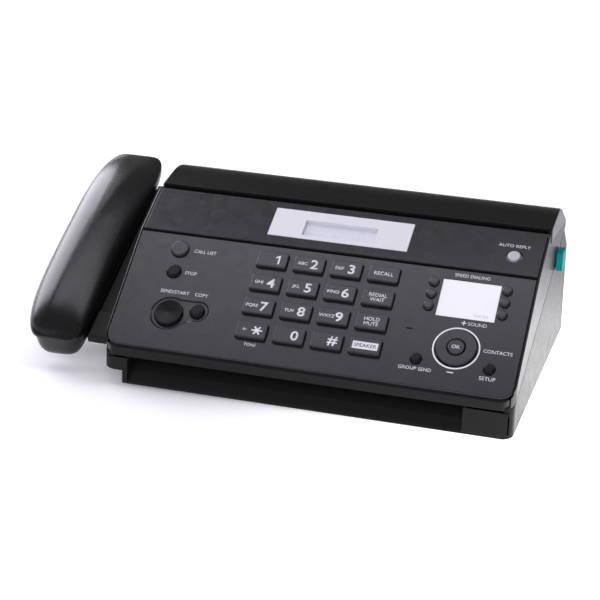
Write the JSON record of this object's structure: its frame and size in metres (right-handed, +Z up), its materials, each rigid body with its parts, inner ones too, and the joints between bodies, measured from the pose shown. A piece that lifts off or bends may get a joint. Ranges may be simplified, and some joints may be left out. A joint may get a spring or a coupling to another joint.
{
  "type": "fax machine",
  "caption": "Charcoal desktop thermal-paper fax machine with a keypad panel, small display and side handset.",
  "frame": {"origin": "middle of the footprint, at floor level under the feet", "axes": "+Z up, front faces -Y, +X to the right seen from the front"},
  "size_m": [0.3574, 0.224, 0.1175],
  "materials": {
    "case_plastic": "fine satin grain",
    "cover_plastic": "fine satin grain",
    "panel_plastic": "satin, pearl charcoal",
    "lid_plastic": "smooth, semi-gloss",
    "key_plastic": "fine satin",
    "handset_plastic": "fine satin",
    "silver_plate": "fine satin silver",
    "display_glass": "clear, glossy",
    "card_paper": "smooth, matte",
    "lever_plastic": "semi-gloss",
    "answer_plastic": "translucent semi-gloss",
    "foot_rubber": "matte",
    "roller_rubber": "matte",
    "thermal_paper": "smooth",
    "steel": "zinc plated",
    "board": "solder mask",
    "inner_plastic": "plain moulded",
    "aluminium_sink": "extruded",
    "gear_plastic": "natural"
  },
  "bodies": {
    "base": {"lower_case": "case_plastic", "rubber_feet": "foot_rubber", "case_screws": "steel", "hinge_pins": "steel", "inner_chassis": "inner_plastic", "image_sensor": "inner_plastic", "main_board": "board", "speaker": "steel", "power_inlet": "inner_plastic", "line_jacks": "inner_plastic", "drive_motor": "steel", "handset_cradle": "case_plastic"},
    "front_cover": {"cover_frame": "cover_plastic", "operation_panel": "panel_plastic", "display_panel": "panel_plastic", "lcd_bezel": "silver_plate", "lcd_screen": "display_glass", "top_cover": "lid_plastic", "directory_card": "card_paper", "key_board": "board", "thermal_head": "aluminium_sink"},
    "handset": {"handset_top_shell": "handset_plastic", "handset_base_shell": "handset_plastic"},
    "hook": {"hook_switch": "key_plastic"},
    "lever": {"release_lever": "lever_plastic"},
    "navigator": {"navigator_key": "key_plastic"},
    "feed": {"feed_roller": "roller_rubber"},
    "platen": {"platen_roller": "roller_rubber"},
    "pinion": {"motor_pinion": "gear_plastic"},
    "roll": {"paper_roll": "thermal_paper"},
    "button_answer_body": {"button_answer": "answer_plastic"},
    "button_caller_body": {"button_caller": "key_plastic"},
    "button_copy_body": {"button_copy": "key_plastic"},
    "button_group_body": {"button_group": "key_plastic"},
    "button_menu_body": {"button_menu": "key_plastic"},
    "button_set_body": {"button_set": "key_plastic"},
    "button_start_body": {"button_start": "key_plastic"},
    "button_stop_body": {"button_stop": "key_plastic"},
    "key_eight_body": {"key_eight": "key_plastic"},
    "key_five_body": {"key_five": "key_plastic"},
    "key_four_body": {"key_four": "key_plastic"},
    "key_hash_body": {"key_hash": "key_plastic"},
    "key_mute_body": {"key_mute": "key_plastic"},
    "key_nine_body": {"key_nine": "key_plastic"},
    "key_one_body": {"key_one": "key_plastic"},
    "key_recall_body": {"key_recall": "key_plastic"},
    "key_redial_body": {"key_redial": "key_plastic"},
    "key_seven_body": {"key_seven": "key_plastic"},
    "key_six_body": {"key_six": "key_plastic"},
    "key_speaker_body": {"key_speaker": "key_plastic"},
    "key_star_body": {"key_star": "key_plastic"},
    "key_three_body": {"key_three": "key_plastic"},
    "key_two_body": {"key_two": "key_plastic"},
    "key_zero_body": {"key_zero": "key_plastic"},
    "one_touch_a_body": {"one_touch_a": "key_plastic"},
    "one_touch_b_body": {"one_touch_b": "key_plastic"},
    "one_touch_c_body": {"one_touch_c": "key_plastic"},
    "one_touch_d_body": {"one_touch_d": "key_plastic"},
    "one_touch_e_body": {"one_touch_e": "key_plastic"},
    "one_touch_f_body": {"one_touch_f": "key_plastic"}
  },
  "joints": [
    {"name": "cover_hinge", "type": "hinge", "parent": "base", "child": "front_cover", "pos_m": [0, -0.109, 0.0226], "axis": [1, 0, 0], "range_deg": [0, 55]},
    {"name": "button_answer_press", "type": "slide", "parent": "front_cover", "child": "button_answer_body", "axis": [0, 0.4679, -0.8838], "range_m": [0, 0.0012], "stiffness_N_per_m": 500},
    {"name": "button_caller_press", "type": "slide", "parent": "front_cover", "child": "button_caller_body", "axis": [0, 0.6266, -0.7793], "range_m": [0, 0.0012], "stiffness_N_per_m": 500},
    {"name": "button_copy_press", "type": "slide", "parent": "front_cover", "child": "button_copy_body", "axis": [0, 0.6266, -0.7793], "range_m": [0, 0.0012], "stiffness_N_per_m": 500},
    {"name": "button_group_press", "type": "slide", "parent": "front_cover", "child": "button_group_body", "axis": [0, 0.6266, -0.7793], "range_m": [0, 0.0012], "stiffness_N_per_m": 500},
    {"name": "button_menu_press", "type": "slide", "parent": "front_cover", "child": "button_menu_body", "axis": [0, 0.6266, -0.7793], "range_m": [0, 0.0012], "stiffness_N_per_m": 500},
    {"name": "button_set_press", "type": "slide", "parent": "front_cover", "child": "button_set_body", "axis": [0, 0.6266, -0.7793], "range_m": [0, 0.0012], "stiffness_N_per_m": 500},
    {"name": "button_start_press", "type": "slide", "parent": "front_cover", "child": "button_start_body", "axis": [0, 0.6266, -0.7793], "range_m": [0, 0.0012], "stiffness_N_per_m": 500},
    {"name": "button_stop_press", "type": "slide", "parent": "front_cover", "child": "button_stop_body", "axis": [0, 0.6266, -0.7793], "range_m": [0, 0.0012], "stiffness_N_per_m": 500},
    {"name": "key_eight_press", "type": "slide", "parent": "front_cover", "child": "key_eight_body", "axis": [0, 0.6266, -0.7793], "range_m": [0, 0.0018], "stiffness_N_per_m": 500},
    {"name": "key_five_press", "type": "slide", "parent": "front_cover", "child": "key_five_body", "axis": [0, 0.6266, -0.7793], "range_m": [0, 0.0018], "stiffness_N_per_m": 500},
    {"name": "key_four_press", "type": "slide", "parent": "front_cover", "child": "key_four_body", "axis": [0, 0.6266, -0.7793], "range_m": [0, 0.0018], "stiffness_N_per_m": 500},
    {"name": "key_hash_press", "type": "slide", "parent": "front_cover", "child": "key_hash_body", "axis": [0, 0.6266, -0.7793], "range_m": [0, 0.0018], "stiffness_N_per_m": 500},
    {"name": "key_mute_press", "type": "slide", "parent": "front_cover", "child": "key_mute_body", "axis": [0, 0.6266, -0.7793], "range_m": [0, 0.0018], "stiffness_N_per_m": 500},
    {"name": "key_nine_press", "type": "slide", "parent": "front_cover", "child": "key_nine_body", "axis": [0, 0.6266, -0.7793], "range_m": [0, 0.0018], "stiffness_N_per_m": 500},
    {"name": "key_one_press", "type": "slide", "parent": "front_cover", "child": "key_one_body", "axis": [0, 0.6266, -0.7793], "range_m": [0, 0.0018], "stiffness_N_per_m": 500},
    {"name": "key_recall_press", "type": "slide", "parent": "front_cover", "child": "key_recall_body", "axis": [0, 0.6266, -0.7793], "range_m": [0, 0.0018], "stiffness_N_per_m": 500},
    {"name": "key_redial_press", "type": "slide", "parent": "front_cover", "child": "key_redial_body", "axis": [0, 0.6266, -0.7793], "range_m": [0, 0.0018], "stiffness_N_per_m": 500},
    {"name": "key_seven_press", "type": "slide", "parent": "front_cover", "child": "key_seven_body", "axis": [0, 0.6266, -0.7793], "range_m": [0, 0.0018], "stiffness_N_per_m": 500},
    {"name": "key_six_press", "type": "slide", "parent": "front_cover", "child": "key_six_body", "axis": [0, 0.6266, -0.7793], "range_m": [0, 0.0018], "stiffness_N_per_m": 500},
    {"name": "key_speaker_press", "type": "slide", "parent": "front_cover", "child": "key_speaker_body", "axis": [0, 0.6266, -0.7793], "range_m": [0, 0.0018], "stiffness_N_per_m": 500},
    {"name": "key_star_press", "type": "slide", "parent": "front_cover", "child": "key_star_body", "axis": [0, 0.6266, -0.7793], "range_m": [0, 0.0018], "stiffness_N_per_m": 500},
    {"name": "key_three_press", "type": "slide", "parent": "front_cover", "child": "key_three_body", "axis": [0, 0.6266, -0.7793], "range_m": [0, 0.0018], "stiffness_N_per_m": 500},
    {"name": "key_two_press", "type": "slide", "parent": "front_cover", "child": "key_two_body", "axis": [0, 0.6266, -0.7793], "range_m": [0, 0.0018], "stiffness_N_per_m": 500},
    {"name": "key_zero_press", "type": "slide", "parent": "front_cover", "child": "key_zero_body", "axis": [0, 0.6266, -0.7793], "range_m": [0, 0.0018], "stiffness_N_per_m": 500},
    {"name": "one_touch_a_press", "type": "slide", "parent": "front_cover", "child": "one_touch_a_body", "axis": [0, 0.6266, -0.7793], "range_m": [0, 0.0012], "stiffness_N_per_m": 500},
    {"name": "one_touch_b_press", "type": "slide", "parent": "front_cover", "child": "one_touch_b_body", "axis": [0, 0.6266, -0.7793], "range_m": [0, 0.0012], "stiffness_N_per_m": 500},
    {"name": "one_touch_c_press", "type": "slide", "parent": "front_cover", "child": "one_touch_c_body", "axis": [0, 0.6266, -0.7793], "range_m": [0, 0.0012], "stiffness_N_per_m": 500},
    {"name": "one_touch_d_press", "type": "slide", "parent": "front_cover", "child": "one_touch_d_body", "axis": [0, 0.6266, -0.7793], "range_m": [0, 0.0012], "stiffness_N_per_m": 500},
    {"name": "one_touch_e_press", "type": "slide", "parent": "front_cover", "child": "one_touch_e_body", "axis": [0, 0.6266, -0.7793], "range_m": [0, 0.0012], "stiffness_N_per_m": 500},
    {"name": "one_touch_f_press", "type": "slide", "parent": "front_cover", "child": "one_touch_f_body", "axis": [0, 0.6266, -0.7793], "range_m": [0, 0.0012], "stiffness_N_per_m": 500},
    {"name": "navigator_tilt", "type": "hinge", "parent": "front_cover", "child": "navigator", "pos_m": [0.12905, -0.08448, 0.04804], "axis": [1, 0, 0], "range_deg": [-3, 3], "stiffness_Nm_per_rad": 0.15},
    {"name": "lever_turn", "type": "hinge", "parent": "base", "child": "lever", "pos_m": [0.17375, 0.045, 0.074], "axis": [-1, 0, 0], "range_deg": [0, 18], "stiffness_Nm_per_rad": 0.1},
    {"name": "handset_lift", "type": "slide", "parent": "base", "child": "handset", "axis": [0, -0.4602, 0.8878], "range_m": [0, 0.12]},
    {"name": "hook_rise", "type": "slide", "parent": "base", "child": "hook", "axis": [0, -0.4602, 0.8878], "range_m": [0, 0.003]},
    {"name": "platen_spin", "type": "hinge", "parent": "base", "child": "platen", "pos_m": [0, 0.0039, 0.0534], "axis": [1, 0, 0], "continuous": true},
    {"name": "feed_spin", "type": "hinge", "parent": "base", "child": "feed", "pos_m": [0, -0.0186, 0.045], "axis": [1, 0, 0], "continuous": true},
    {"name": "motor_spin", "type": "hinge", "parent": "base", "child": "pinion", "pos_m": [0, -0.00556, 0.04441], "axis": [1, 0, 0], "continuous": true},
    {"name": "roll_spin", "type": "hinge", "parent": "base", "child": "roll", "pos_m": [0, 0.0524, 0.0519], "axis": [1, 0, 0], "continuous": true}
  ],
  "couplings": [
    {"joint": "feed_spin", "follows": "platen_spin", "ratio": 1},
    {"joint": "motor_spin", "follows": "platen_spin", "ratio": -1.6667},
    {"joint": "hook_rise", "follows": "handset_lift", "ratio": 0.025}
  ]
}
